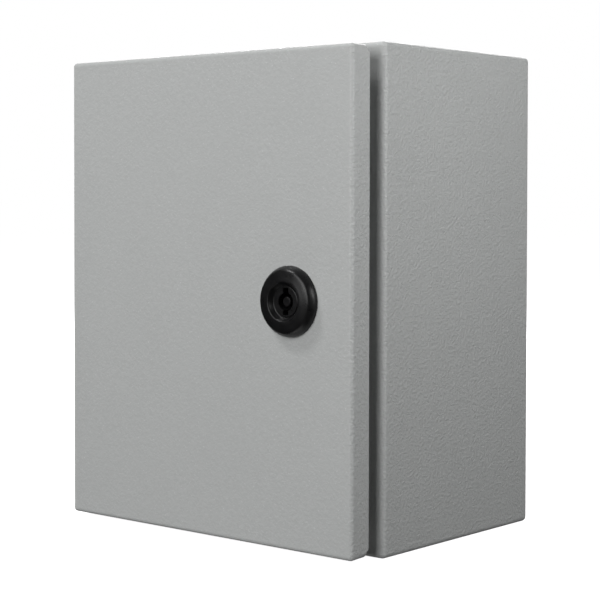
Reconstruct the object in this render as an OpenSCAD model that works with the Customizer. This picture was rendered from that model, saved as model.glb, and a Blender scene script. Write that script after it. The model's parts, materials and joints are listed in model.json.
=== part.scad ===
// Wall-mounted sheet-steel switchboard cabinet with one hinged door and a quarter-turn lock.
// Frame: the origin is at the middle of the rear face, +Y into the wall, +X right, +Z up.

/* [Cabinet] */
// Overall width
cabinet_w = 200; // [200:10:400]
// Overall height
cabinet_h = 250; // [250:10:500]
// Depth from the wall to the front face of the door
cabinet_d = 150; // [130:5:250]
// Sheet thickness of the body and the door
sheet_t = 1.2; // [1:0.1:1.5]
// Outside radius of the body's bends
body_bend_r = 2.5; // [2:0.1:4]

/* [Front frame] */
// Width of the return that faces the door
return_w = 18; // [18:0.5:20]
// Corner radius of the sealing lip
lip_corner_r = 6; // [4:0.5:10]

/* [Door] */
// How far the door's edges stand inside the body's
door_inset = 2.25; // [1:0.25:2.5]
// Depth of the door's folded flange, with the skin
door_flange = 13.5; // [13:0.5:14]
// Open gap between the flange and the body's return
door_gap = 8.5; // [8.5:0.5:12]
// Outside radius of the door's bends
door_bend_r = 2; // [1.8:0.1:3]
// Width of the foamed gasket
gasket_w = 10; // [8:0.5:11]
// Height of the foamed gasket
gasket_h = 7; // [5:0.5:8]

/* [Hinges] */
// Height of the hinge centres above and below the middle
hinge_z = 80; // [50:5:85]
// Distance of the hinge axis from the door's side face
hinge_inset = 7; // [6.5:0.1:7]
// Distance of the hinge axis behind the door's front face
hinge_depth = 10.5; // [10:0.1:10.5]
// Radius of the hinge pins
hinge_pin_r = 2; // [1.5:0.1:2]

/* [Lock] */
// Distance of the lock axis from the door's free edge
lock_edge = 38.5; // [36:0.5:42]
// Distance of the lock axis below the door's middle
lock_drop = 0.75; // [0:0.25:3]
// Radius of the lock's rim on the door
lock_rim_r = 17.5; // [17:0.5:20]
// Radius of the lock's threaded shank
lock_shank_r = 11; // [11:0.05:11.2]
// Radius of the turning insert's face
insert_r = 7.6; // [7.4:0.1:7.8]
// Radius of the pin in the double-bit keyhole
key_pin_r = 2.4; // [1.5:0.1:2.5]
// Reach of the cam from the lock axis
cam_reach = 32; // [30:1:34]

/* [Mounting plate] */
// Gap around the mounting plate, from the outside of the cabinet
plate_margin = 20; // [20:1:30]
// Thickness of the mounting plate
plate_t = 2; // [1.5:0.5:3]
// Distance of the plate from the inside of the rear wall
plate_standoff = 10; // [8:1:15]

/* [Fixings] */
// Radius of the wall-fixing holes
wall_hole_r = 4.25; // [3.5:0.25:4.5]
// Distance of the wall-fixing holes from the cabinet's outer edges
wall_hole_inset = 20; // [20:1:25]

/* [Cable entry] */
// Width of the cut-out in the bottom wall
entry_w = 130; // [80:5:140]
// Depth of the cut-out in the bottom wall
entry_d = 64; // [50:2:70]

/* [Hidden] */
$fn = 64;
eps = 0.01;

// The door covers a little less than the body's front.
door_w = cabinet_w - 2 * door_inset;
door_h = cabinet_h - 2 * door_inset;

// Planes along Y, from the wall to the front.
body_front_y = -(cabinet_d - door_flange - door_gap);
door_front_y = -cabinet_d;
door_skin_y = door_front_y + sheet_t;
flange_end_y = door_front_y + door_flange;
gasket_face_y = door_skin_y + gasket_h;
lip_gap = 0.3;
lip_front_y = gasket_face_y + lip_gap;
rear_inner_y = -sheet_t;
return_inner_y = body_front_y + sheet_t;

// The sealing lip stands forward from the inner edge of the return.
lip_w = cabinet_w - 2 * return_w;
lip_h = cabinet_h - 2 * return_w;

// Hinges: two ears on the lip carry the pin, and the door's knuckle turns between them.
hinge_x = -door_w / 2 + hinge_inset;
hinge_y = door_front_y + hinge_depth;
knuckle_r = 3.2;
knuckle_h = 16;
ear_t = 5;
ear_gap = 0.2;
bracket_h = knuckle_h + 2 * (ear_gap + ear_t);
bracket_t = 2;
bracket_arm_back = 2;
bracket_front_gap = 0.5;
pin_clearance = 0.05;
pin_head_h = 2;
pin_tail = 3;
clip_t = 0.8;
clip_gap = 0.6;
clip_r = 3.6;
clip_groove_r = hinge_pin_r - 0.5;
clip_mouth_w = 2;

// Lock, in its own frame: +Z leaves the door's front face, +Y is up.
lock_x = door_w / 2 - lock_edge;
lock_flat_r = 10;
lock_hole_clearance = 0.25;
lock_end = -19;
bore_clearance = 0.08;
insert_face = 3.4;
insert_shoulder = -12;
insert_shaft_r = 6;
insert_end = -20;
keyhole_r = 4.55;
keyhole_bottom = -6;
key_slot_w = 3.1;
key_slot_reach = 6.6;
oring_z = -4.5;
oring_r = 0.45;
oring_groove_r = 6.65;
lock_nut_h = 5;
lock_nut_af = 27;
lock_seal_t = 1;
cam_t = 3;
cam_w = 14;
cam_square = 8;
cam_hub = -cam_t + insert_end;
cam_tip_gap = 0.3;
cam_tip = door_front_y - return_inner_y - cam_tip_gap;
cam_bend_start = 10;
cam_bend_end = 17;
cam_washer_t = 1.2;
cam_screw_r = 3;
cam_screw_head = 4;
cam_screw_in = 10;

// Mounting plate on four welded studs, and the earth studs.
plate_w = cabinet_w - 2 * plate_margin;
plate_h = cabinet_h - 2 * plate_margin;
plate_back_y = rear_inner_y - plate_standoff;
plate_front_y = plate_back_y - plate_t;
plate_corner_cut = 22;
plate_stud_x = plate_w / 2 - 10;
plate_stud_z = plate_h / 2 - 25;
m6_r = 3;
m6_hole_r = 3.3;
m6_af = 10;
m6_nut_h = 5;
m6_washer_r = 6;
m6_washer_t = 1.2;
stud_collar_r = 6;
plate_stud_tip_y = plate_front_y - 12;
earth_x = -40;
earth_z = -cabinet_h / 2 + 11;
earth_stud_len = 16;
door_earth_x = -66;
door_earth_z = -cabinet_h / 2 + 37;
door_earth_len = 12;

// Cable entry in the bottom wall, closed from inside by the gland plate.
entry_y = -(sheet_t + 29 + entry_d / 2);
floor_z = -cabinet_h / 2 + sheet_t;
gland_margin = 13;
gland_gasket_t = 2;
gland_plate_t = 1.5;
gland_w = entry_w + 2 * gland_margin;
gland_d = entry_d + 2 * gland_margin;
gland_stud_x = entry_w / 2 + gland_margin / 2;
gland_stud_y = entry_d / 2 + gland_margin / 2;
m5_r = 2.5;
m5_hole_r = 2.8;
m5_af = 8;
m5_nut_h = 4.5;
gland_stud_len = 12;

// ---- shared shapes ----

// A rectangle with round corners, drawn with true arcs.
module round_rect(w, h, r) {
    square([w - 2 * r, h], center = true);
    square([w, h - 2 * r], center = true);
    for (sx = [-1, 1], sy = [-1, 1])
        translate([sx * (w / 2 - r), sy * (h / 2 - r)]) circle(r);
}

// A bar along Y from y0 to y1, whose XZ outline is the child.
module along_y(y0, y1) {
    translate([0, y1, 0]) rotate([90, 0, 0]) linear_extrude(y1 - y0) children();
}

// A box with every edge rounded, centred on X and Z, from y0 to y1.
module round_box(w, h, y0, y1, r) {
    depth = y1 - y0;
    intersection() {
        along_y(y0, y1) round_rect(w, h, r);
        translate([0, (y0 + y1) / 2, -h / 2]) linear_extrude(h) round_rect(w, depth, r);
        translate([-w / 2, (y0 + y1) / 2, 0]) rotate([90, 0, 90])
            linear_extrude(w) round_rect(depth, h, r);
    }
}

// A closed rectangular ring around Y.
module ring_y(w, h, corner_r, width, y0, y1) {
    difference() {
        along_y(y0, y1) round_rect(w, h, corner_r);
        along_y(y0 - 1, y1 + 1)
            round_rect(w - 2 * width, h - 2 * width, max(corner_r - width, 0.5));
    }
}

module hex_nut(af, h, r) {
    difference() {
        cylinder(h = h, d = af / cos(30), $fn = 6);
        translate([0, 0, -1]) cylinder(h = h + 2, r = r);
    }
}

module washer(r_out, r_in, t) {
    difference() {
        cylinder(h = t, r = r_out);
        translate([0, 0, -1]) cylinder(h = t + 2, r = r_in);
    }
}

// Places its children at the lock: +Z leaves the door's front, +Y is up.
module at_lock() {
    translate([lock_x, door_front_y, -lock_drop]) rotate([90, 0, 0]) children();
}

// Places its children at a point of a wall that faces -Y, with +Z pointing at the viewer.
module facing_front(x, y, z) {
    translate([x, y, z]) rotate([90, 0, 0]) children();
}

// Places its children at a point of the door's inside, with +Z pointing at the wall.
module facing_back(x, y, z) {
    translate([x, y, z]) rotate([-90, 0, 0]) children();
}

module at_corners(x, z) {
    for (sx = [-1, 1], sz = [-1, 1]) translate([sx * x, 0, sz * z]) children();
}

// ---- body ----

module body_shell() {
    color([0.6, 0.63, 0.6]) difference() {
        union() {
            difference() {
                round_box(cabinet_w, cabinet_h, body_front_y, 0, body_bend_r);
                round_box(cabinet_w - 2 * sheet_t, cabinet_h - 2 * sheet_t,
                    return_inner_y, rear_inner_y, body_bend_r - sheet_t);
                along_y(body_front_y - 1, return_inner_y + 1)
                    round_rect(lip_w - sheet_t, lip_h - sheet_t, lip_corner_r - sheet_t / 2);
            }
            ring_y(lip_w, lip_h, lip_corner_r, sheet_t, lip_front_y, return_inner_y);
        }
        at_corners(cabinet_w / 2 - wall_hole_inset, cabinet_h / 2 - wall_hole_inset)
            facing_front(0, 1, 0) cylinder(h = sheet_t + 2, r = wall_hole_r);
        translate([0, entry_y, -cabinet_h / 2 - 1]) linear_extrude(sheet_t + 2)
            round_rect(entry_w, entry_d, 4);
    }
}

module mounting_plate() {
    color([0.62, 0.64, 0.66]) difference() {
        along_y(plate_front_y, plate_back_y) polygon([
            for (c = [[1, 1, 0], [-1, 1, 1], [-1, -1, 0], [1, -1, 1]], i = [0, 1])
                let (first = (i + c[2]) % 2 == 0)
                [c[0] * (plate_w / 2 - (first ? 0 : plate_corner_cut)),
                 c[1] * (plate_h / 2 - (first ? plate_corner_cut : 0))]
        ]);
        at_corners(plate_stud_x, plate_stud_z)
            facing_front(0, plate_back_y + 1, 0) cylinder(h = plate_t + 2, r = m6_hole_r);
    }
}

module plate_studs() {
    color([0.75, 0.6, 0.35]) at_corners(plate_stud_x, plate_stud_z) {
        facing_front(0, rear_inner_y, 0) cylinder(h = plate_standoff, r = stud_collar_r);
        facing_front(0, plate_back_y, 0)
            cylinder(h = plate_back_y - plate_stud_tip_y, r = m6_r);
    }
}

module plate_washers() {
    color("silver") at_corners(plate_stud_x, plate_stud_z)
        facing_front(0, plate_front_y, 0) washer(m6_washer_r, m6_hole_r, m6_washer_t);
}

module plate_nuts() {
    color("silver") at_corners(plate_stud_x, plate_stud_z)
        facing_front(0, plate_front_y - m6_washer_t, 0)
            hex_nut(m6_af, m6_nut_h, m6_r + pin_clearance);
}

// ---- cable entry ----

module gland_outline(w, d, z0, t) {
    translate([0, entry_y, z0]) linear_extrude(t) round_rect(w, d, 3);
}

module at_gland_studs(z0) {
    for (sx = [-1, 1], sy = [-1, 1])
        translate([sx * gland_stud_x, entry_y + sy * gland_stud_y, z0]) children();
}

module gland_gasket() {
    color([0.12, 0.12, 0.12]) difference() {
        gland_outline(gland_w, gland_d, floor_z, gland_gasket_t);
        gland_outline(entry_w, entry_d, floor_z - 1, gland_gasket_t + 2);
        at_gland_studs(floor_z - 1) cylinder(h = gland_gasket_t + 2, r = m5_hole_r);
    }
}

module gland_plate() {
    color([0.6, 0.63, 0.6]) difference() {
        gland_outline(gland_w, gland_d, floor_z + gland_gasket_t, gland_plate_t);
        at_gland_studs(floor_z) cylinder(h = gland_gasket_t + gland_plate_t + 2, r = m5_hole_r);
    }
}

module gland_studs() {
    color([0.75, 0.6, 0.35]) at_gland_studs(floor_z) cylinder(h = gland_stud_len, r = m5_r);
}

module gland_nuts() {
    color("silver") at_gland_studs(floor_z + gland_gasket_t + gland_plate_t) {
        hex_nut(m5_af, m5_nut_h, m5_r + pin_clearance);
        washer(5.5, m5_r + pin_clearance, 1);
    }
}

// ---- earth studs ----

module earth_stud() {
    color([0.7, 0.42, 0.28]) facing_front(earth_x, rear_inner_y, earth_z)
        cylinder(h = earth_stud_len, r = m6_r);
}

module earth_washer() {
    color("silver") facing_front(earth_x, rear_inner_y, earth_z)
        washer(m6_washer_r, m6_r + pin_clearance, m6_washer_t);
}

module earth_nut() {
    color("silver") facing_front(earth_x, rear_inner_y - m6_washer_t, earth_z)
        hex_nut(m6_af, m6_nut_h, m6_r + pin_clearance);
}

module door_earth_stud() {
    color([0.7, 0.42, 0.28]) facing_back(door_earth_x, door_skin_y, door_earth_z)
        cylinder(h = door_earth_len, r = m6_r);
}

module door_earth_washer() {
    color("silver") facing_back(door_earth_x, door_skin_y, door_earth_z)
        washer(m6_washer_r, m6_r + pin_clearance, m6_washer_t);
}

module door_earth_nut() {
    color("silver") facing_back(door_earth_x, door_skin_y + m6_washer_t, door_earth_z)
        hex_nut(m6_af, m6_nut_h, m6_r + pin_clearance);
}

// ---- hinges ----

// Body half: a web welded to the lip and the return, with an ear above and below the knuckle.
module hinge_bracket(zc) {
    web_x = -lip_w / 2 - bracket_t - hinge_x;
    front_y = lip_front_y + bracket_front_gap - hinge_y;
    color([0.6, 0.63, 0.6]) translate([hinge_x, hinge_y, zc]) difference() {
        union() {
            translate([web_x, front_y, -bracket_h / 2])
                cube([bracket_t, body_front_y - hinge_y - front_y, bracket_h]);
            for (z0 = [-bracket_h / 2, bracket_h / 2 - ear_t]) translate([0, 0, z0]) {
                cylinder(h = ear_t, r = knuckle_r);
                translate([0, front_y, 0]) cube([web_x, bracket_arm_back - front_y, ear_t]);
            }
        }
        translate([0, 0, -bracket_h / 2 - 1])
            cylinder(h = bracket_h + 2, r = hinge_pin_r + pin_clearance);
    }
}

// Door half: a knuckle welded to the inside of the door's flange.
module hinge_leaf(zc) {
    flange_x = -door_w / 2 + sheet_t;
    block_d = flange_end_y - hinge_y + knuckle_r;
    color([0.6, 0.63, 0.6]) translate([hinge_x, hinge_y, zc - knuckle_h / 2]) difference() {
        union() {
            cylinder(h = knuckle_h, r = knuckle_r);
            translate([flange_x - hinge_x, -knuckle_r, 0])
                cube([hinge_x - flange_x, block_d, knuckle_h]);
        }
        translate([0, 0, -1]) cylinder(h = knuckle_h + 2, r = hinge_pin_r + pin_clearance);
    }
}

// A headed pin with a groove for its retaining clip below the lower ear.
module hinge_pin(zc) {
    groove_t = clip_t + 0.1;
    color("silver") translate([hinge_x, hinge_y, zc]) difference() {
        union() {
            translate([0, 0, -bracket_h / 2 - pin_tail])
                cylinder(h = bracket_h + pin_tail, r = hinge_pin_r);
            translate([0, 0, bracket_h / 2]) cylinder(h = pin_head_h, r = knuckle_r);
        }
        translate([0, 0, -bracket_h / 2 - clip_gap - groove_t])
            washer(hinge_pin_r + 1, clip_groove_r, groove_t);
    }
}

// Spring clips, open on one side, that keep the pins in.
module hinge_clips() {
    color("silver") for (zc = [-hinge_z, hinge_z])
        translate([hinge_x, hinge_y, zc - bracket_h / 2 - clip_gap - clip_t - 0.05]) difference() {
            washer(clip_r, clip_groove_r + pin_clearance, clip_t);
            translate([-clip_mouth_w / 2, -clip_r - 1, -1])
                cube([clip_mouth_w, clip_r + 1, clip_t + 2]);
        }
}

// ---- door ----

module door_panel() {
    back = flange_end_y + 20;
    color([0.6, 0.63, 0.6]) difference() {
        round_box(door_w, door_h, door_front_y, back, door_bend_r);
        round_box(door_w - 2 * sheet_t, door_h - 2 * sheet_t,
            door_skin_y, back + 20, door_bend_r - sheet_t);
        translate([-cabinet_w, flange_end_y, -cabinet_h])
            cube([2 * cabinet_w, 50, 2 * cabinet_h]);
        at_lock() translate([0, 0, -sheet_t - 1]) linear_extrude(sheet_t + 2)
            shank_outline(lock_hole_clearance);
    }
}

module door_gasket() {
    mid_to_edge = (gasket_w - sheet_t) / 2;
    color([0.2, 0.2, 0.2]) ring_y(lip_w + 2 * mid_to_edge, lip_h + 2 * mid_to_edge,
        lip_corner_r + mid_to_edge, gasket_w, door_skin_y, gasket_face_y);
}

// ---- lock ----

// Outline of the shank with its two flats, grown by a clearance.
module shank_outline(grow) {
    intersection() {
        circle(lock_shank_r + grow);
        square([2 * (lock_shank_r + grow) + 1, 2 * (lock_flat_r + grow)], center = true);
    }
}

// Outside of the rim: a short upright foot, a sloping wall, a shoulder, then a gentle crown.
function rim_profile(r) = [
    [r, 0], [r, 0.9], [r - 0.15, 1.5], [r - 0.6, 2.5], [r - 1.1, 3.3], [r - 1.6, 4.0],
    [r - 2.2, 4.55], [r - 2.9, 4.9], [r - 4.2, 5.2], [r - 5.8, 5.45], [r - 6.8, 5.65],
    [r - 7.4, 5.65], [r - 7.8, 5.5], [r - 8.2, 5.0]
];

module lock_housing() {
    bore_r = insert_r + bore_clearance;
    color([0.05, 0.05, 0.05]) at_lock() difference() {
        union() {
            rotate_extrude() polygon(concat([[0, 0]], rim_profile(lock_rim_r), [[0, 5.0]]));
            translate([0, 0, lock_end]) linear_extrude(-lock_end + eps) shank_outline(0);
        }
        // The dish that leads into the insert.
        translate([0, 0, 3.0]) cylinder(h = 2.01, r1 = bore_r + 0.4, r2 = lock_rim_r - 8.19);
        translate([0, 0, insert_shoulder]) cylinder(h = 20, r = bore_r);
        translate([0, 0, lock_end - 1])
            cylinder(h = 20, r = insert_shaft_r + bore_clearance);
        // The groove that holds the seal under the rim.
        translate([0, 0, -1]) difference() {
            cylinder(h = lock_seal_t + 1, r = 15.6);
            translate([0, 0, -1]) cylinder(h = lock_seal_t + 3, r = 12.4);
        }
    }
}

module lock_seal() {
    color([0.1, 0.1, 0.1]) at_lock() washer(15.5, 12.5, lock_seal_t);
}

module lock_nut() {
    color("silver") at_lock() translate([0, 0, -sheet_t - lock_nut_h])
        hex_nut(lock_nut_af, lock_nut_h, lock_shank_r + pin_clearance);
}

module lock_insert() {
    color([0.08, 0.08, 0.08]) at_lock() difference() {
        union() {
            translate([0, 0, insert_shoulder])
                cylinder(h = insert_face - insert_shoulder, r = insert_r);
            translate([0, 0, insert_end])
                cylinder(h = insert_shoulder - insert_end + eps, r = insert_shaft_r);
            translate([-cam_square / 2, -cam_square / 2, cam_hub])
                cube([cam_square, cam_square, cam_t + eps]);
        }
        // The keyhole leaves its middle pin standing.
        difference() {
            translate([0, 0, keyhole_bottom]) linear_extrude(20) {
                circle(keyhole_r);
                square([key_slot_w, 2 * key_slot_reach], center = true);
            }
            translate([0, 0, keyhole_bottom - 1])
                cylinder(h = insert_face - keyhole_bottom + 0.2, r = key_pin_r);
        }
        translate([0, 0, oring_z - 0.6]) difference() {
            cylinder(h = 1.2, r = insert_r + 1);
            translate([0, 0, -1]) cylinder(h = 4, r = oring_groove_r);
        }
        translate([0, 0, cam_hub - 1])
            cylinder(h = cam_screw_in + 1, r = cam_screw_r + pin_clearance);
    }
}

module insert_o_ring() {
    centre_r = (oring_groove_r + insert_r + bore_clearance) / 2;
    color([0.1, 0.1, 0.1]) at_lock() translate([0, 0, oring_z])
        rotate_extrude() translate([centre_r, 0]) circle(oring_r);
}

// A cranked tongue, which points up when the lock is open.
module lock_cam() {
    side = [
        [-cam_w / 2, cam_hub], [cam_bend_start, cam_hub], [cam_bend_end, cam_tip - cam_t],
        [cam_reach, cam_tip - cam_t], [cam_reach, cam_tip],
        [cam_bend_end + 1, cam_tip], [cam_bend_start + 1, cam_hub + cam_t],
        [-cam_w / 2, cam_hub + cam_t]
    ];
    color([0.7, 0.7, 0.68]) at_lock() difference() {
        intersection() {
            rotate([90, 0, 90]) translate([0, 0, -cam_w / 2]) linear_extrude(cam_w) polygon(side);
            // Rounds the hub and the tip in the plan view.
            translate([0, 0, -60]) linear_extrude(60) {
                circle(cam_w / 2);
                translate([-cam_w / 2, 0]) square([cam_w, cam_reach - cam_w / 2]);
                translate([0, cam_reach - cam_w / 2]) circle(cam_w / 2);
            }
        }
        translate([-cam_square / 2 - 0.05, -cam_square / 2 - 0.05, cam_hub - 1])
            cube([cam_square + 0.1, cam_square + 0.1, cam_t + 2]);
    }
}

module lock_cam_washer() {
    color("silver") at_lock() translate([0, 0, cam_hub - cam_washer_t])
        washer(cam_w / 2 - 0.5, cam_screw_r + pin_clearance, cam_washer_t);
}

module lock_cam_screw() {
    head_z = cam_hub - cam_washer_t - cam_screw_head;
    color("silver") at_lock() translate([0, 0, head_z]) {
        cylinder(h = cam_screw_head, d = m6_af / cos(30), $fn = 6);
        cylinder(h = cam_screw_head + cam_washer_t + cam_screw_in - 0.5, r = cam_screw_r);
    }
}

body_shell();
mounting_plate();
plate_studs();
plate_washers();
plate_nuts();
gland_plate();
gland_gasket();
gland_studs();
gland_nuts();
earth_stud();
earth_washer();
earth_nut();
hinge_bracket(hinge_z);  // hinge_bracket_upper
hinge_bracket(-hinge_z);  // hinge_bracket_lower
hinge_pin(hinge_z);  // hinge_pin_upper
hinge_pin(-hinge_z);  // hinge_pin_lower
hinge_clips();
door_panel();
door_gasket();
hinge_leaf(hinge_z);  // hinge_leaf_upper
hinge_leaf(-hinge_z);  // hinge_leaf_lower
door_earth_stud();
door_earth_washer();
door_earth_nut();
lock_housing();
lock_seal();
lock_nut();
lock_insert();
insert_o_ring();
lock_cam();
lock_cam_washer();
lock_cam_screw();
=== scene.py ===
"""The looks of a small wall-mounted switchboard cabinet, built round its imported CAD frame."""

import json
import math

import bmesh
import bpy
from mathutils import Matrix, Vector


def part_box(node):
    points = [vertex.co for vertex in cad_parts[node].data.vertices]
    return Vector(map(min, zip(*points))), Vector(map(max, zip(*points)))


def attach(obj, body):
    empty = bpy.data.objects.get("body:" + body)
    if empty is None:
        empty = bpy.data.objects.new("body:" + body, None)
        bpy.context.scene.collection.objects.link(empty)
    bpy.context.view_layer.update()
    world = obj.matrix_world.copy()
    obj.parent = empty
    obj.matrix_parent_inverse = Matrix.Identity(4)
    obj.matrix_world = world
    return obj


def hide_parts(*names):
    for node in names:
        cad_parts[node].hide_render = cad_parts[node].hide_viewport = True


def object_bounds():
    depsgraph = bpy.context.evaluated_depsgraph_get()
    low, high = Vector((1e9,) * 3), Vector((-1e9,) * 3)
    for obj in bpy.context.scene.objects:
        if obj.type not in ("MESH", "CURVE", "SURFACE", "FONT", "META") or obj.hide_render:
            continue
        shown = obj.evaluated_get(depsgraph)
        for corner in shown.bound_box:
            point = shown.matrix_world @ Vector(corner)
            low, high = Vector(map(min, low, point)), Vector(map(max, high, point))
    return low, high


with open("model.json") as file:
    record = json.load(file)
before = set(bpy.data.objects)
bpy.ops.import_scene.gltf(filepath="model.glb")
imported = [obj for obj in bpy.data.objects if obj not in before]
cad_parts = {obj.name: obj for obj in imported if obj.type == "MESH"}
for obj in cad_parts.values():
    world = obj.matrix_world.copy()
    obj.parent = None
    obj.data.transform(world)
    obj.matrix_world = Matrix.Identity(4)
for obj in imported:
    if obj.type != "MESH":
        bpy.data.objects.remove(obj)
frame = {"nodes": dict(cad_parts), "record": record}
nodes = frame["nodes"]
cad_low, cad_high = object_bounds()

MM = 0.001

# ---- sizes, in millimetres, read from the frame where a CAD box gives them ----


def box_mm(node):
    """The lowest and highest corner of a CAD node, in millimetres."""
    low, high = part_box(node)
    return low / MM, high / MM


body_low, body_high = box_mm("body_shell")
door_low, door_high = box_mm("door_panel")
gasket_low, gasket_high = box_mm("door_gasket")
bracket_high = box_mm("hinge_bracket_upper")[1]
nut_low, nut_high = box_mm("lock_nut")
gland_low, gland_high = box_mm("gland_plate")

SHEET = 1.2
HALF_BODY = (body_high.x, body_high.z)
HALF_DOOR = (door_high.x, door_high.z)
BODY_BEND = 2.5
DOOR_BEND = 2.0
BODY_FRONT = bracket_high.y
RETURN = bracket_high.x - body_low.x
LIP_CORNER = 6.0
LIP_FRONT = body_low.y
DOOR_FRONT = door_low.y
FLANGE_END = door_high.y
WALL_HOLE_R = 4.25
WALL_HOLE_INSET = 20.0
ENTRY = (130.0, 64.0, 4.0)
ENTRY_Y = (gland_low.y + gland_high.y) / 2
LOCK_X = (nut_low.x + nut_high.x) / 2
LOCK_Z = (nut_low.z + nut_high.z) / 2
SHANK_R = 11.0
SHANK_FLAT = 10.0
NUT_ACROSS = 27
BORE_R = 7.68
INSERT_R = 7.6

# Thread radius and pitch, then the nut's width across its flats and its height.
M6, M6_PITCH, M6_NUT = 3.0, 1.0, (10, 5)
M5, M5_PITCH, M5_NUT = 2.5, 0.8, (8, 4.5)
THREAD_CLEARANCE = 0.05
WASHER_R = 6
WASHER_THICK = 1.2

BEND_STEPS = 7
CORNER_STEPS = 8
TURN = 72


# ---- materials ----


class Shader:
    """A Principled material whose node tree is built step by step."""

    def __init__(self, name, color, roughness, metallic=0.0, specular=0.5):
        self.material = bpy.data.materials.new(name)
        self.material.use_nodes = True
        self.tree = self.material.node_tree
        self.bsdf = self.tree.nodes["Principled BSDF"]
        self.bsdf.inputs["Base Color"].default_value = (*color, 1)
        self.bsdf.inputs["Roughness"].default_value = roughness
        self.bsdf.inputs["Metallic"].default_value = metallic
        self.bsdf.inputs["Specular IOR Level"].default_value = specular
        self.place = self.node("ShaderNodeTexCoord").outputs["Object"]
        self.normal = None

    def node(self, kind, **settings):
        made = self.tree.nodes.new(kind)
        for key, value in settings.items():
            setattr(made, key, value)
        return made

    def link(self, source, target):
        self.tree.links.new(source, target)

    def noise(self, size_mm, detail=2.0, roughness=0.5, distortion=0.0):
        """Soft noise whose features are about size_mm across."""
        made = self.node("ShaderNodeTexNoise")
        made.inputs["Scale"].default_value = 1.0 / (size_mm * MM)
        made.inputs["Detail"].default_value = detail
        made.inputs["Roughness"].default_value = roughness
        made.inputs["Distortion"].default_value = distortion
        self.link(self.place, made.inputs["Vector"])
        return made.outputs["Fac"]

    def cells(self, size_mm, output="Distance"):
        """Voronoi cells about size_mm across."""
        made = self.node("ShaderNodeTexVoronoi")
        made.inputs["Scale"].default_value = 1.0 / (size_mm * MM)
        self.link(self.place, made.inputs["Vector"])
        return made.outputs[output]

    def ramp(self, value, low, high, start=0.3, end=0.7):
        """Runs a value through a ramp between two colours or two greys."""
        made = self.node("ShaderNodeValToRGB")
        ends = made.color_ramp.elements
        ends[0].position, ends[1].position = start, end
        ends[0].color = (*low, 1) if isinstance(low, tuple) else (low, low, low, 1)
        ends[1].color = (*high, 1) if isinstance(high, tuple) else (high, high, high, 1)
        self.link(value, made.inputs["Fac"])
        return made.outputs["Color"]

    def blend(self, factor, first, second):
        """Mixes two colours by a factor."""
        made = self.node("ShaderNodeMix", data_type="RGBA")
        self.link(factor, made.inputs["Factor"])
        self.link(first, made.inputs[6])
        self.link(second, made.inputs[7])
        return made.outputs[2]

    def sideways(self):
        """1 on faces that look along the object's X axis, and 0 on faces square to them."""
        split = self.node("ShaderNodeSeparateXYZ")
        self.link(self.node("ShaderNodeTexCoord").outputs["Normal"], split.inputs["Vector"])
        size = self.node("ShaderNodeMath", operation="ABSOLUTE")
        self.link(split.outputs["X"], size.inputs[0])
        return size.outputs["Value"]

    def times(self, first, second):
        """The product of two values."""
        made = self.node("ShaderNodeMath", operation="MULTIPLY")
        self.link(first, made.inputs[0])
        self.link(second, made.inputs[1])
        return made.outputs["Value"]

    def color(self, value):
        self.link(value, self.bsdf.inputs["Base Color"])

    def rough(self, value):
        self.link(value, self.bsdf.inputs["Roughness"])

    def bump(self, height, depth_mm, strength=1.0):
        """Adds a relief of depth_mm on top of those that are there."""
        made = self.node("ShaderNodeBump")
        made.inputs["Strength"].default_value = strength
        made.inputs["Distance"].default_value = depth_mm * MM
        self.link(height, made.inputs["Height"])
        if self.normal:
            self.link(self.normal, made.inputs["Normal"])
        self.normal = made.outputs["Normal"]
        self.link(self.normal, self.bsdf.inputs["Normal"])


def powder_coat():
    """Light grey textured powder coat: a fine wrinkle, coarser on the sides, with painted shade
    where it dips and sparse pale specks of painted glints.
    """
    s = Shader("grey_powder_coat", (0.6, 0.62, 0.615), 0.42)
    wrinkle = s.noise(1.45, detail=1.5, roughness=0.5, distortion=0.5)
    # Painted shade: the colour is darker where the wrinkle dips and lighter on its crests, as if
    # lit across the relief.
    painted_wrinkle_shade = s.ramp(wrinkle, (0.555, 0.568, 0.562), (0.615, 0.628, 0.622))
    clouds = s.ramp(s.noise(35, detail=3.0), (0.58, 0.593, 0.587), (0.6, 0.613, 0.607))
    coat = s.blend(s.noise(20), painted_wrinkle_shade, clouds)
    # Painted highlights: sparse pale specks in the colour stand for glints off the coat's little
    # bumps.
    painted_glint_specks = s.ramp(s.cells(2.4), 1.0, 0.0, 0.05, 0.17)
    s.color(s.blend(painted_glint_specks, coat, s.ramp(wrinkle, (0.68, 0.69, 0.69), (0.74, 0.75, 0.75))))
    s.rough(s.ramp(wrinkle, 0.5, 0.34))
    relief = s.ramp(wrinkle, 0.0, 1.0, 0.35, 0.7)
    s.bump(relief, 0.072)
    s.bump(s.times(relief, s.sideways()), 0.15)
    s.bump(s.noise(9, detail=1.0), 0.08, strength=0.5)
    return s.material


def moulded_plastic():
    """Black moulded plastic with a fine spark-eroded grain."""
    s = Shader("black_plastic", (0.01, 0.01, 0.0105), 0.3, specular=0.35)
    s.color(s.ramp(s.noise(6, detail=2.0), (0.008, 0.008, 0.0085), (0.012, 0.012, 0.0125)))
    s.rough(s.ramp(s.noise(3, detail=3.0), 0.26, 0.36))
    s.bump(s.noise(0.28, detail=2.0), 0.01, strength=0.35)
    return s.material


def zinc_plate():
    """Bright zinc plating, faintly clouded, with a fine grain."""
    s = Shader("zinc_plated_steel", (0.7, 0.71, 0.71), 0.3, metallic=1.0)
    cloud = s.noise(4, detail=3.0, roughness=0.6)
    s.color(s.ramp(cloud, (0.62, 0.64, 0.66), (0.76, 0.76, 0.73)))
    s.rough(s.ramp(s.noise(0.9, detail=4.0), 0.24, 0.42))
    s.bump(s.noise(0.35, detail=2.0), 0.008, strength=0.4)
    return s.material


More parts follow.
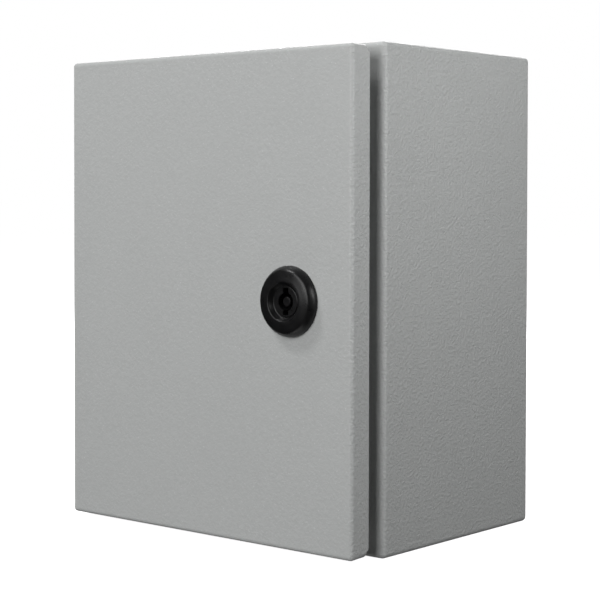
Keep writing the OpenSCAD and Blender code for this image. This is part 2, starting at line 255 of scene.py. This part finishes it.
def galvanised():
    """Galvanised sheet: dull crystals of slightly different greys."""
    s = Shader("galvanised_sheet", (0.6, 0.62, 0.64), 0.45, metallic=1.0)
    crystal = s.cells(7, output="Color")
    spangle = s.ramp(crystal, (0.53, 0.55, 0.57), (0.66, 0.67, 0.68), 0.1, 0.9)
    cloud = s.ramp(s.noise(18, detail=4.0), (0.56, 0.58, 0.6), (0.64, 0.65, 0.66))
    s.color(s.blend(s.noise(3, detail=3.0), spangle, cloud))
    s.rough(s.ramp(crystal, 0.42, 0.54, 0.1, 0.9))
    s.bump(s.cells(7), 0.01, strength=0.25)
    s.bump(s.noise(0.8, detail=3.0), 0.01, strength=0.3)
    return s.material


def copper_flash():
    """Thin copper plating on steel, darker where it has dulled."""
    s = Shader("copper_flashed_steel", (0.72, 0.42, 0.28), 0.35, metallic=1.0)
    dull = s.noise(2.5, detail=4.0, roughness=0.65)
    s.color(s.ramp(dull, (0.5, 0.27, 0.17), (0.8, 0.48, 0.33), 0.35, 0.65))
    s.rough(s.ramp(dull, 0.5, 0.28, 0.35, 0.65))
    s.bump(s.noise(0.3, detail=2.0), 0.008, strength=0.4)
    return s.material


def foam():
    """Dark closed-skin polyurethane foam with tiny pores."""
    s = Shader("dark_foam", (0.045, 0.045, 0.048), 0.85, specular=0.25)
    pores = s.ramp(s.cells(0.55), 0.0, 1.0, 0.05, 0.35)
    s.color(s.ramp(s.noise(5, detail=3.0), (0.034, 0.034, 0.037), (0.06, 0.06, 0.063)))
    s.bump(pores, 0.05, strength=0.6)
    s.bump(s.noise(7, detail=2.0), 0.25, strength=0.5)
    return s.material


def rubber():
    """Black rubber sheet with a fine pressed grain."""
    s = Shader("black_rubber", (0.022, 0.022, 0.022), 0.7, specular=0.35)
    s.color(s.ramp(s.noise(3, detail=3.0), (0.016, 0.016, 0.016), (0.032, 0.032, 0.032)))
    s.rough(s.ramp(s.noise(1.2, detail=3.0), 0.6, 0.82))
    s.bump(s.noise(0.4, detail=2.0), 0.02, strength=0.5)
    return s.material


FINISH = {
    "grey_powder_coat": powder_coat(),
    "black_plastic": moulded_plastic(),
    "zinc_plated_steel": zinc_plate(),
    "galvanised_sheet": galvanised(),
    "copper_flashed_steel": copper_flash(),
    "dark_foam": foam(),
    "black_rubber": rubber(),
}
SLOT_OF = {part["node"]: part["material_slot"] for part in frame["record"]["subparts"]}
BODIES = frame["record"]["behaviour"]["bodies"]
BODY_OF = {node: body for body, members in BODIES.items() for node in members}

for name, obj in nodes.items():
    obj.data.materials.clear()
    obj.data.materials.append(FINISH[SLOT_OF[name]])


# ---- mesh tools, all in millimetres ----


def piece(name, node, bm, sharp_deg=50):
    """Turns a bmesh in millimetres into the piece that stands for a CAD node."""
    bmesh.ops.remove_doubles(bm, verts=bm.verts, dist=0.0005)
    bmesh.ops.recalc_face_normals(bm, faces=bm.faces)
    for face in bm.faces:
        face.smooth = True
    for edge in bm.edges:
        edge.smooth = edge.calc_face_angle(0) < math.radians(sharp_deg)
    bmesh.ops.scale(bm, vec=(MM, MM, MM), verts=bm.verts)
    mesh = bpy.data.meshes.new(name)
    bm.to_mesh(mesh)
    bm.free()
    mesh.materials.append(FINISH[SLOT_OF[node]])
    obj = bpy.data.objects.new(name, mesh)
    bpy.context.scene.collection.objects.link(obj)
    even = obj.modifiers.new("even_shading", "WEIGHTED_NORMAL")
    even.keep_sharp = True
    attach(obj, BODY_OF[node])
    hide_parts(node)
    return obj


def at(x, y, z):
    """Places a shape at a point, its +Z up."""
    return Matrix.Translation((x, y, z))


def facing_front(x, y, z):
    """Places a shape at a point, its +Z towards the viewer of the door and its +Y up."""
    return at(x, y, z) @ Matrix.Rotation(math.pi / 2, 4, "X")


def facing_back(x, y, z):
    """Places a shape at a point, its +Z towards the wall."""
    return at(x, y, z) @ Matrix.Rotation(-math.pi / 2, 4, "X")


AT_LOCK = facing_front(LOCK_X, DOOR_FRONT, LOCK_Z)


def loft(bm, loops, closed=False):
    """Joins loops of equally many points with quads; closed also joins the last to the first."""
    rings = [[bm.verts.new(p) for p in points] for points in loops]
    pairs = list(zip(rings, rings[1:]))
    if closed:
        pairs.append((rings[-1], rings[0]))
    for a, b in pairs:
        for i in range(len(a)):
            j = (i + 1) % len(a)
            bm.faces.new((a[i], a[j], b[j], b[i]))
    return rings


def capped(loops, place=Matrix.Identity(4)):
    """A solid through a row of loops, closed by a flat face at each end."""
    bm = bmesh.new()
    rings = loft(bm, [[place @ Vector(p) for p in points] for points in loops])
    bm.faces.new(rings[0])
    bm.faces.new(rings[-1])
    return bm


def prism(outline, low, high, place=Matrix.Identity(4)):
    """A straight bar along +Z whose cross-section is a list of points."""
    return capped([[(x, y, level) for x, y in outline] for level in (low, high)], place)


def turned(profile, place=Matrix.Identity(4), outline=None, steps=TURN, solid=False):
    """A (radius, height) profile turned round Z. outline(angle, r, h) may change a point.

    The profile is closed on itself, or if solid, closed by a flat face at each end.
    """
    loops = []
    for radius, height in profile:
        points = []
        for k in range(steps):
            a = math.tau * k / steps
            r, h = outline(a, radius, height) if outline else (radius, height)
            points.append((r * math.cos(a), r * math.sin(a), h))
        loops.append(points)
    if solid:
        return capped(loops, place)
    bm = bmesh.new()
    loft(bm, [[place @ Vector(p) for p in points] for points in loops], closed=True)
    return bm


def join(parts):
    """One bmesh that holds several."""
    whole = bmesh.new()
    for part in parts:
        mesh = bpy.data.meshes.new("joined")
        part.to_mesh(mesh)
        part.free()
        whole.from_mesh(mesh)
        bpy.data.meshes.remove(mesh)
    return whole


def arc(centre, radius, start, end, steps=BEND_STEPS):
    """Points on an arc, by angles in degrees."""
    points = []
    for k in range(steps + 1):
        a = math.radians(start + (end - start) * k / steps)
        points.append((centre[0] + radius * math.cos(a), centre[1] + radius * math.sin(a)))
    return points


def rounded_loop(half, inset, y, corner, trims=(), drop=None):
    """A rounded rectangle in the XZ plane, inset from an outline given by its half sizes.

    trims adds points at those distances beyond each corner arc, and drop(d) moves a point
    at distance d from its arc forward.
    """
    half_x, half_z = half[0] - inset, half[1] - inset
    points = []
    for turn, (sx, sz) in enumerate(((1, 1), (-1, 1), (-1, -1), (1, -1))):
        cx, cz = sx * (half_x - corner), sz * (half_z - corner)
        start = math.radians(90 * turn)
        before = Vector((math.sin(start), 0, -math.cos(start)))
        after = Vector((-math.cos(start), 0, -math.sin(start)))
        first = Vector((cx + corner * math.cos(start), y, cz + corner * math.sin(start)))
        last = Vector((cx - corner * math.sin(start), y, cz + corner * math.cos(start)))
        moved = (lambda p, d: p - Vector((0, drop(d), 0))) if drop else (lambda p, d: p)
        points += [moved(first + before * d, d) for d in reversed(trims)]
        for k in range(CORNER_STEPS + 1):
            a = start + math.pi / 2 * k / CORNER_STEPS
            on_arc = Vector((cx + corner * math.cos(a), y, cz + corner * math.sin(a)))
            points.append(moved(on_arc, 0))
        points += [moved(last + after * d, d) for d in trims]
    return points


def cut(bm, tools):
    """Cuts each tool's solid, a bmesh, out of a bmesh."""
    scratch = []
    for part in (bm, *tools):
        mesh = bpy.data.meshes.new("cut")
        bmesh.ops.recalc_face_normals(part, faces=part.faces)
        part.to_mesh(mesh)
        part.free()
        obj = bpy.data.objects.new("cut", mesh)
        bpy.context.scene.collection.objects.link(obj)
        scratch.append(obj)
    target = scratch[0]
    for tool in scratch[1:]:
        modifier = target.modifiers.new("cut", "BOOLEAN")
        modifier.operation = "DIFFERENCE"
        modifier.solver = "EXACT"
        modifier.object = tool
    bpy.context.view_layer.update()
    evaluated = target.evaluated_get(bpy.context.evaluated_depsgraph_get())
    result = bmesh.new()
    result.from_mesh(evaluated.to_mesh())
    evaluated.to_mesh_clear()
    for obj in scratch:
        mesh = obj.data
        bpy.data.objects.remove(obj)
        bpy.data.meshes.remove(mesh)
    return result


def rounded_rectangle(width, height, corner, centre=(0, 0)):
    """The outline of a rounded rectangle."""
    points = []
    for turn, (sx, sy) in enumerate(((1, 1), (-1, 1), (-1, -1), (1, -1))):
        middle = (
            centre[0] + sx * (width / 2 - corner),
            centre[1] + sy * (height / 2 - corner),
        )
        points += arc(middle, corner, 90 * turn, 90 * turn + 90)
    return points


def circle(radius, centre=(0, 0), steps=48):
    """Points round a circle."""
    turn = [math.tau * k / steps for k in range(steps)]
    return [(centre[0] + radius * math.cos(a), centre[1] + radius * math.sin(a)) for a in turn]


def softened(node, width=0.25, angle=35, segments=2):
    """A copy of a CAD node's mesh with its flats joined and its edges rounded over."""
    bm = bmesh.new()
    bm.from_mesh(nodes[node].data)
    bmesh.ops.scale(bm, vec=(1 / MM, 1 / MM, 1 / MM), verts=bm.verts)
    bmesh.ops.remove_doubles(bm, verts=bm.verts, dist=0.002)
    bmesh.ops.dissolve_limit(
        bm, angle_limit=math.radians(0.5), verts=bm.verts, edges=bm.edges, delimit=set()
    )
    sharp = [e for e in bm.edges if e.is_manifold and e.calc_face_angle(0) > math.radians(angle)]
    bmesh.ops.bevel(
        bm, geom=sharp, offset=width, segments=segments, profile=0.5,
        affect="EDGES", clamp_overlap=True,
    )
    return bm


def threaded(radius, length, pitch, place, steps=28, per_turn=6):
    """A threaded rod along +Z of its placing matrix, with a chamfered end."""
    depth = 0.55 * pitch
    point = 0.8
    loops = []
    count = int(length / pitch * per_turn)
    for i in range(count + 1):
        z = length * i / count
        points = []
        for k in range(steps):
            a = math.tau * k / steps
            phase = (z / pitch - k / steps) % 1.0
            r = min(radius - depth * abs(2 * phase - 1), radius - max(0.0, point - (length - z)))
            points.append((r * math.cos(a), r * math.sin(a), z))
        loops.append(points)
    return capped(loops, place)


def ring(inner, outer, thickness, place, edge=0.2):
    """A flat washer with rounded outer edges."""
    profile = [(inner, 0), (outer - edge, 0), (outer, edge), (outer, thickness - edge)]
    profile += [(outer - edge, thickness), (inner, thickness)]
    return turned(profile, place, steps=48)


def hexagon(across, height, place, bore=0.0, flange=0.0):
    """A nut, or a bolt head where there is no bore, with chamfered corners.

    flange is the radius of a round flange under it, if it has one.
    """
    apothem = across / 2
    start = apothem * 0.94
    sixth = math.pi / 3

    def shape(a, r, h):
        if r <= start:
            return r, h
        edge = apothem / math.cos(a % sixth - sixth / 2)
        slope = (edge - start) * math.tan(math.radians(30))
        return edge, slope if h < height / 2 else height - slope

    side = [(start, 0.0), (start + 1, 0.0), (start + 1, height), (start, height)]
    if not bore:
        return turned(side, place, shape, solid=True)
    profile = [(bore, 0.5), (bore + 0.4, 0.0), *side, (bore + 0.4, height), (bore, height - 0.5)]
    parts = [turned(profile, place, shape)]
    if flange:
        parts.append(ring(bore, flange, 1.0, place))
    return join(parts)


def at_corners(node, inset):
    """The four (x, z) places inset from the corners of a CAD node's front outline."""
    low, high = box_mm(node)
    columns = (low.x + inset, high.x - inset)
    rows = (low.z + inset, high.z - inset)
    return [(x, z) for x in columns for z in rows]


# ---- body ----


def cabinet_shell():
    """The folded body: rear wall, sides, front return and the sealing lip, as one sheet."""
    inner = BODY_BEND - SHEET
    fold = 0.8
    lip = RETURN
    near = 0.4
    rear_y = -BODY_BEND
    front_y = BODY_FRONT + BODY_BEND
    fold_y = BODY_FRONT - fold

    def corner(inset):
        return max(BODY_BEND - inset, 0.06)

    profile = [(BODY_BEND + near, 0.0, None)]
    profile += [(x, y, None) for x, y in arc((BODY_BEND, rear_y), BODY_BEND, 90, 180)]
    profile += [(0.0, rear_y - near, None), (0.0, front_y + near, None)]
    profile += [(x, y, None) for x, y in arc((BODY_BEND, front_y), BODY_BEND, 180, 270)]
    profile += [(BODY_BEND + near, BODY_FRONT, None)]
    # The lip's corners are round, so these rings carry their own corner radius.
    profile += [(lip - fold - near, BODY_FRONT, LIP_CORNER + fold + near)]
    for x, y in arc((lip - fold, fold_y), fold, 90, 0, 4):
        profile.append((x, y, LIP_CORNER + lip - x))
    rim = SHEET / 2
    profile += [(lip, fold_y - near, LIP_CORNER), (lip, LIP_FRONT + rim + near, LIP_CORNER)]
    for x, y in arc((lip + rim, LIP_FRONT + rim), rim, 180, 360, 8):
        profile.append((x, y, LIP_CORNER + lip - x))
    inside = lip + SHEET
    profile += [(inside, LIP_FRONT + rim + near, LIP_CORNER - SHEET)]
    profile += [(inside, fold_y - near, LIP_CORNER - SHEET)]
    for x, y in arc((lip - fold, fold_y), fold + SHEET, 0, 90, 5):
        profile.append((x, y, LIP_CORNER + lip - x))
    profile += [(lip - fold - near, BODY_FRONT + SHEET, LIP_CORNER + fold + near)]
    profile += [(BODY_BEND + near, BODY_FRONT + SHEET, None)]
    profile += [(x, y, None) for x, y in arc((BODY_BEND, front_y), inner, 270, 180)]
    profile += [(SHEET, front_y + near, None), (SHEET, rear_y - near, None)]
    profile += [(x, y, None) for x, y in arc((BODY_BEND, rear_y), inner, 180, 90)]
    profile += [(BODY_BEND + near, -SHEET, None)]

    shell = capped([rounded_loop(HALF_BODY, x, y, c if c else corner(x)) for x, y, c in profile])
    holes = [
        prism(circle(WALL_HOLE_R), -1, SHEET + 1, facing_front(x, 0, z))
        for x, z in at_corners("body_shell", WALL_HOLE_INSET)
    ]
    entry = rounded_rectangle(*ENTRY, centre=(0, ENTRY_Y))
    holes.append(prism(entry, -1, SHEET + 1, at(0, 0, body_low.z)))
    piece("cabinet_shell", "body_shell", cut(shell, holes))


def mounting_plate():
    """The plate on its four welded studs, with washers and nuts."""
    piece("switchgear_plate", "mounting_plate", softened("mounting_plate", 0.3))
    collar_r = 6.0
    low, high = box_mm("plate_studs")
    plate_back = box_mm("mounting_plate")[1].y
    washer_back = box_mm("plate_washers")[1].y
    nut_back = box_mm("plate_nuts")[1].y
    studs, washers, nuts = [], [], []
    for x, z in at_corners("plate_studs", collar_r):
        length = high.y - plate_back
        collar = [(collar_r - 0.4, 0), (collar_r, 0.4), (collar_r, length - 0.5)]
        collar.append((collar_r - 0.5, length))
        studs.append(turned(collar, facing_front(x, high.y, z), steps=40, solid=True))
        studs.append(threaded(M6, plate_back - low.y, M6_PITCH, facing_front(x, plate_back, z)))
        washers.append(ring(M6 + 0.3, WASHER_R, WASHER_THICK, facing_front(x, washer_back, z)))
        nuts.append(hexagon(*M6_NUT, facing_front(x, nut_back, z), M6 + THREAD_CLEARANCE))
    piece("plate_stud_set", "plate_studs", join(studs))
    piece("plate_washer_set", "plate_washers", join(washers))
    piece("plate_nut_set", "plate_nuts", join(nuts))


def cable_entry():
    """The plate over the cable cut-out, with its gasket, studs and flanged nuts."""
    piece("entry_plate", "gland_plate", softened("gland_plate", 0.3))
    piece("entry_gasket", "gland_gasket", softened("gland_gasket", 0.3))
    low, high = box_mm("gland_studs")
    nut_z = box_mm("gland_nuts")[0].z
    places = [(x, y) for x in (low.x + M5, high.x - M5) for y in (low.y + M5, high.y - M5)]
    studs = [threaded(M5, high.z - low.z, M5_PITCH, at(x, y, low.z)) for x, y in places]
    clear = M5 + THREAD_CLEARANCE
    nuts = [hexagon(*M5_NUT, at(x, y, nut_z), clear, flange=5.5) for x, y in places]
    piece("entry_stud_set", "gland_studs", join(studs))
    piece("entry_nut_set", "gland_nuts", join(nuts))


def earth_fixing(prefix, facing, wall):
    """A copper-flashed weld stud with a washer and a nut, on a wall given by its Y."""
    low, high = box_mm(prefix + "earth_stud")
    x, z = (low.x + high.x) / 2, (low.z + high.z) / 2
    place = facing(x, wall, z)
    clear = M6 + THREAD_CLEARANCE
    foot = turned([(M6 + 0.5, 0), (M6 + 0.1, 0.5)], place, steps=32, solid=True)
    stud = threaded(M6, high.y - low.y, M6_PITCH, place)
    piece(prefix + "earth_bolt", prefix + "earth_stud", join([stud, foot]))
    washer = ring(clear, WASHER_R, WASHER_THICK, place)
    piece(prefix + "earth_ring", prefix + "earth_washer", washer)
    nut = hexagon(*M6_NUT, place @ at(0, 0, WASHER_THICK), clear)
    piece(prefix + "earth_hex", prefix + "earth_nut", nut)


# ---- door ----


def door_pan():
    """The door: one sheet with a flange all round, its welded corners ground round."""
    inner = DOOR_BEND - SHEET
    near = 0.35
    bend_y = DOOR_FRONT + DOOR_BEND
    rim = 0.4
    notch = 1.5
    trims = (0.25, 0.5, 0.75, 1.0, 1.25, 1.5, 2.5)

    def drop(d):
        reach = max(notch - d, 0.0)
        return notch - math.sqrt(notch ** 2 - reach ** 2)

    def corner(inset, y):
        grown = DOOR_BEND + 1.2 * max(0.0, (y - bend_y) / (FLANGE_END - bend_y))
        return max(grown - inset, 0.06)

    profile = [(DOOR_BEND + near, DOOR_FRONT)]
    profile += arc((DOOR_BEND, bend_y), DOOR_BEND, 270, 180)
    profile += [(0.0, bend_y + near)]
    rim_start = len(profile)
    profile += arc((rim, FLANGE_END - rim), rim, 180, 90, 3)
    profile += arc((SHEET - rim, FLANGE_END - rim), rim, 90, 0, 3)
    rim_end = len(profile)
    profile += [(SHEET, bend_y + near)]
    profile += arc((DOOR_BEND, bend_y), inner, 180, 270)
    profile += [(DOOR_BEND + near, DOOR_FRONT + SHEET)]

    loops = []
    for i, (x, y) in enumerate(profile):
        dropped = drop if rim_start <= i < rim_end else None
        loops.append(rounded_loop(HALF_DOOR, x, y, corner(x, y), trims, dropped))
    flat = SHANK_FLAT + 0.25
    hole = [(x, max(-flat, min(flat, y))) for x, y in circle(SHANK_R + 0.25, steps=64)]
    tool = prism(hole, -SHEET - 1, 1, AT_LOCK)
    piece("door_pan", "door_panel", cut(capped(loops), [tool]))


def door_seal():
    """The foamed bead on the door's inside: a low dome with the lip's line pressed into it."""
    width = 10.0
    base = gasket_low.y
    height = gasket_high.y - gasket_low.y
    outer = HALF_BODY[0] - gasket_high.x
    corner_r = 10.4
    dome_power = 2.4
    groove_depth, groove_spread = 0.5, 1.1
    loops = []
    steps = 22
    for k in range(steps + 1):
        across = 2 * k / steps - 1
        dome = (1 - abs(across) ** dome_power) ** (1 / dome_power)
        groove = groove_depth * math.exp(-((across * width / 2 / groove_spread) ** 2))
        inset = outer + width * k / steps
        corner = max(corner_r - (inset - outer), 0.5)
        loops.append(rounded_loop(HALF_BODY, inset, base + height * dome - groove, corner))
    bm = bmesh.new()
    loft(bm, loops, closed=True)
    piece("foamed_seal", "door_gasket", bm, sharp_deg=80)


# ---- hinges ----


def hinges():
    """Brackets on the body, knuckles on the door, headed pins and their spring clips."""
    for level in ("upper", "lower"):
        bracket = softened("hinge_bracket_" + level, 0.35, segments=3)
        piece("bracket_" + level, "hinge_bracket_" + level, bracket)
        leaf = softened("hinge_leaf_" + level, 0.35, segments=3)
        piece("knuckle_" + level, "hinge_leaf_" + level, leaf)
        node = "hinge_pin_" + level
        low, high = box_mm(node)
        x, y = (low.x + high.x) / 2, (low.y + high.y) / 2
        head_r = (high.x - low.x) / 2
        pin_r = 2.0
        groove_r, groove_low, groove_high = 1.5, 1.5, 2.4
        length = high.z - low.z
        under_head = length - 2.0
        profile = [(pin_r - 0.5, 0), (pin_r, 0.5), (pin_r, groove_low)]
        profile += [(groove_r, groove_low), (groove_r, groove_high), (pin_r, groove_high)]
        profile += [(pin_r, under_head), (head_r - 0.2, under_head)]
        profile += [(head_r, under_head + 0.2), (head_r, length - 0.9)]
        profile += [(head_r - 0.25, length - 0.45), (head_r - 0.8, length - 0.15)]
        profile.append((head_r - 1.8, length))
        pin = turned(profile, at(x, y, low.z), steps=40, solid=True)
        piece("pin_" + level, node, pin, sharp_deg=40)
    piece("pin_clips", "hinge_clips", softened("hinge_clips", 0.15))


# ---- lock ----


def lock_bezel():
    """The moulded housing: a domed rim, the dish and bore, and the threaded shank."""
    end = -19.0
    pitch = 1.5
    depth = 0.7

    def outline(a, r, h):
        if h > -SHEET or r < SHANK_FLAT:
            return r, h
        phase = (h / pitch - a / math.tau) % 1.0
        r -= depth * abs(2 * phase - 1)
        return min(r, SHANK_FLAT / max(abs(math.sin(a)), 0.01)), h

    profile = [(17.35, 0.0), (17.5, 0.15), (17.5, 0.8), (17.42, 1.3), (17.2, 1.9)]
    profile += [(16.87, 2.6), (16.47, 3.25), (16.05, 3.85), (15.72, 4.25), (15.35, 4.57)]
    profile += [(14.9, 4.8), (14.3, 4.97), (13.3, 5.15), (12.3, 5.32), (11.4, 5.48), (10.8, 5.6)]
    profile += arc((10.0, 5.0), 0.62, 90, 172, 6)
    profile += [(9.2, 4.6), (8.3, 3.2), (8.06, 3.0), (BORE_R, 3.0)]
    profile += [(BORE_R, -12.0), (6.08, -12.0), (6.08, end), (SHANK_R - 0.9, end)]
    shank_steps = 96
    thread_end = -SHEET - 0.1
    for k in range(shank_steps + 1):
        h = end + 0.3 + (thread_end - end - 0.3) * k / shank_steps
        profile.append((min(SHANK_R, SHANK_R - 0.9 + (h - end)), h))
    profile += [(10.9, -SHEET + 0.1), (10.9, 0.0)]
    profile += [(12.4, 0.0), (12.4, 1.0), (15.6, 1.0), (15.6, 0.0)]
    piece("lock_bezel", "lock_housing", turned(profile, AT_LOCK, outline, steps=96), sharp_deg=42)


def keyhole(grow):
    """The outline of a round hole with a slot above and below it."""
    radius, half, reach, corner = 4.55 + grow, 1.55 + grow, 6.6 + grow, 0.4 + grow
    lean = math.degrees(math.acos(half / radius))
    points = arc((0, 0), radius, -lean, lean, 16)
    points += arc((half - corner, reach - corner), corner, 0, 90, 3)
    points += arc((corner - half, reach - corner), corner, 90, 180, 3)
    points += arc((0, 0), radius, 180 - lean, 180 + lean, 16)
    points += arc((corner - half, corner - reach), corner, 180, 270, 3)
    points += arc((half - corner, corner - reach), corner, 270, 360, 3)
    return points


def key_insert():
    """The turning insert: a drum with a double-bit keyhole round a pin, and a square tail."""
    face, shoulder, tail, end = 3.4, -12.0, -20.0, -23.0
    square, bore = 4.0, 3.05

    def outline(a, r, h):
        if h > tail or r <= bore:
            return r, h
        return min(r, square / max(abs(math.cos(a)), abs(math.sin(a)))), h

    profile = [(bore, end + 10), (bore, end), (square * 1.38, end), (square * 1.38, tail)]
    profile += [(6.0, tail + 0.01), (6.0, shoulder), (INSERT_R - 0.3, shoulder)]
    profile += [(INSERT_R, shoulder + 0.3), (INSERT_R, -5.1), (6.65, -5.1), (6.65, -3.9)]
    profile += [(INSERT_R, -3.9), (INSERT_R, face - 0.45), (INSERT_R - 0.12, face - 0.15)]
    profile.append((INSERT_R - 0.4, face))
    drum = turned(profile, AT_LOCK, outline, solid=True)
    levels = ((-6.0, 0.0), (face - 0.3, 0.0), (face + 0.05, 0.3), (face + 2, 0.3))
    opening = capped([[(x, y, z) for x, y in keyhole(grow)] for z, grow in levels], AT_LOCK)
    pin = [(2.4, -8.0), (2.4, 2.1), (2.3, 2.4), (2.05, 2.6)]
    opening = cut(opening, [turned(pin, AT_LOCK, steps=40, solid=True)])
    piece("key_insert", "lock_insert", cut(drum, [opening]), sharp_deg=40)


def lock_fittings():
    """The nut behind the door, the cam on the insert's tail, and its washer and screw."""
    back = nut_high.y
    place = facing_front(LOCK_X, back, LOCK_Z)
    nut = hexagon(NUT_ACROSS, nut_high.y - nut_low.y, place, SHANK_R + THREAD_CLEARANCE)
    piece("housing_nut", "lock_nut", nut)
    piece("locking_cam", "lock_cam", softened("lock_cam", 0.4, angle=20, segments=3))
    washer_y = box_mm("lock_cam_washer")[1].y
    ring_at = facing_front(LOCK_X, washer_y, LOCK_Z)
    washer = ring(M6 + THREAD_CLEARANCE, WASHER_R + 0.5, WASHER_THICK, ring_at, 0.25)
    piece("cam_ring", "lock_cam_washer", washer)
    screw_low, screw_high = box_mm("lock_cam_screw")
    head_across, head_height = 10, 4
    head = hexagon(head_across, head_height, facing_front(LOCK_X, screw_high.y, LOCK_Z))
    length = screw_high.y - screw_low.y - head_height
    under_head = facing_front(LOCK_X, screw_high.y - head_height, LOCK_Z)
    shaft = threaded(M6, length, M6_PITCH, under_head)
    piece("cam_bolt", "lock_cam_screw", join([head, shaft]))


cabinet_shell()
mounting_plate()
cable_entry()
earth_fixing("", facing_front, -SHEET)
earth_fixing("door_", facing_back, DOOR_FRONT + SHEET)
door_pan()
door_seal()
hinges()
lock_bezel()
key_insert()
lock_fittings()

# ---- stage, light and camera ----

FLOOR_SIZE = 60


def make_stage():
    """A plain pale floor that glows white, its glow a little weaker under and round the cabinet as
    painted shadow.
    """
    bpy.ops.mesh.primitive_plane_add(size=FLOOR_SIZE, location=(0, 0, cad_low.z))
    floor = bpy.context.object
    floor.name = "floor"
    s = Shader("pale_floor", (0.8, 0.8, 0.8), 0.9, specular=0.0)
    away = s.node("ShaderNodeVectorMath", operation="LENGTH")
    s.link(s.place, away.inputs[0])
    s.bsdf.inputs["Emission Color"].default_value = (1, 1, 1, 1)
    # Painted shadow: the floor's glow fades slightly towards the cabinet.
    s.link(s.ramp(away.outputs["Value"], 0.93, 1.0, 0.15, 0.6), s.bsdf.inputs["Emission Strength"])
    floor.data.materials.append(s.material)
    floor.visible_diffuse = False
    floor.visible_glossy = False
    floor.visible_shadow = False


# Soft square lights round the cabinet's middle: azimuth from the front towards the right and
# elevation in degrees, distance and side in metres, and radiance.
LIGHTS = {
    "key_upper_left": (-40, 55, 1.4, 0.25, 30.0),
    "front_panel": (0, 20, 1.4, 1.0, 3.7),
    "side_high": (100, 40, 0.45, 0.15, 3.0),
    "side_low": (80, 20, 0.45, 0.15, 4.4),
    "side_panel": (100, 10, 1.2, 0.8, 1.45),
    "rear_panel": (-140, 35, 1.4, 1.0, 4.0),
}
# The light from below: its place, side and radiance.
FLOOR_BOUNCE = (0.0, -0.35, -0.6, 0.4, 0.8)

LENS = 98.54
LENS_SHIFT = -0.1
CAMERA_PLACE = (0.5796, -0.7545, 0.0499)
CAMERA_TURN = (88.509, -0.1, 40.379)


def square_light(name, place, away, side, radiance):
    """A square light at a place, with its back turned to the direction away."""
    data = bpy.data.lights.new(name, "AREA")
    data.shape = "SQUARE"
    data.size = side
    data.energy = radiance * math.pi * side ** 2
    light = bpy.data.objects.new(name, data)
    light.location = place
    light.rotation_mode = "QUATERNION"
    light.rotation_quaternion = away.to_track_quat("Z", "Y")
    light.visible_camera = False
    bpy.context.scene.collection.objects.link(light)


def make_light():
    """The lights, one more that stands for what the floor sends up, and a white surround."""
    middle = (cad_low + cad_high) / 2
    for name, (azimuth, elevation, distance, side, radiance) in LIGHTS.items():
        a, e = math.radians(azimuth), math.radians(elevation)
        away = Vector((math.sin(a) * math.cos(e), -math.cos(a) * math.cos(e), math.sin(e)))
        square_light(name, middle + away * distance, away, side, radiance)
    x, y, z, side, radiance = FLOOR_BOUNCE
    square_light("floor_bounce", Vector((x, y, z)), Vector((0, 0, -1)), side, radiance)
    world = bpy.data.worlds.new("surround")
    world.use_nodes = True
    tree = world.node_tree
    background = tree.nodes["Background"]
    background.inputs["Color"].default_value = (1, 1, 1, 1)
    seen = tree.nodes.new("ShaderNodeLightPath")
    tree.links.new(seen.outputs["Is Camera Ray"], background.inputs["Strength"])
    bpy.context.scene.world = world


def make_camera():
    """A long lens at the front right, a little above the middle of the cabinet."""
    data = bpy.data.cameras.new("camera")
    data.lens = LENS
    data.sensor_width = 36
    data.shift_y = LENS_SHIFT
    data.clip_start = 0.01
    camera = bpy.data.objects.new("camera", data)
    camera.location = CAMERA_PLACE
    camera.rotation_euler = [math.radians(angle) for angle in CAMERA_TURN]
    bpy.context.scene.collection.objects.link(camera)
    bpy.context.scene.camera = camera


make_stage()
make_light()
make_camera()
bpy.context.scene.view_settings.view_transform = "Standard"
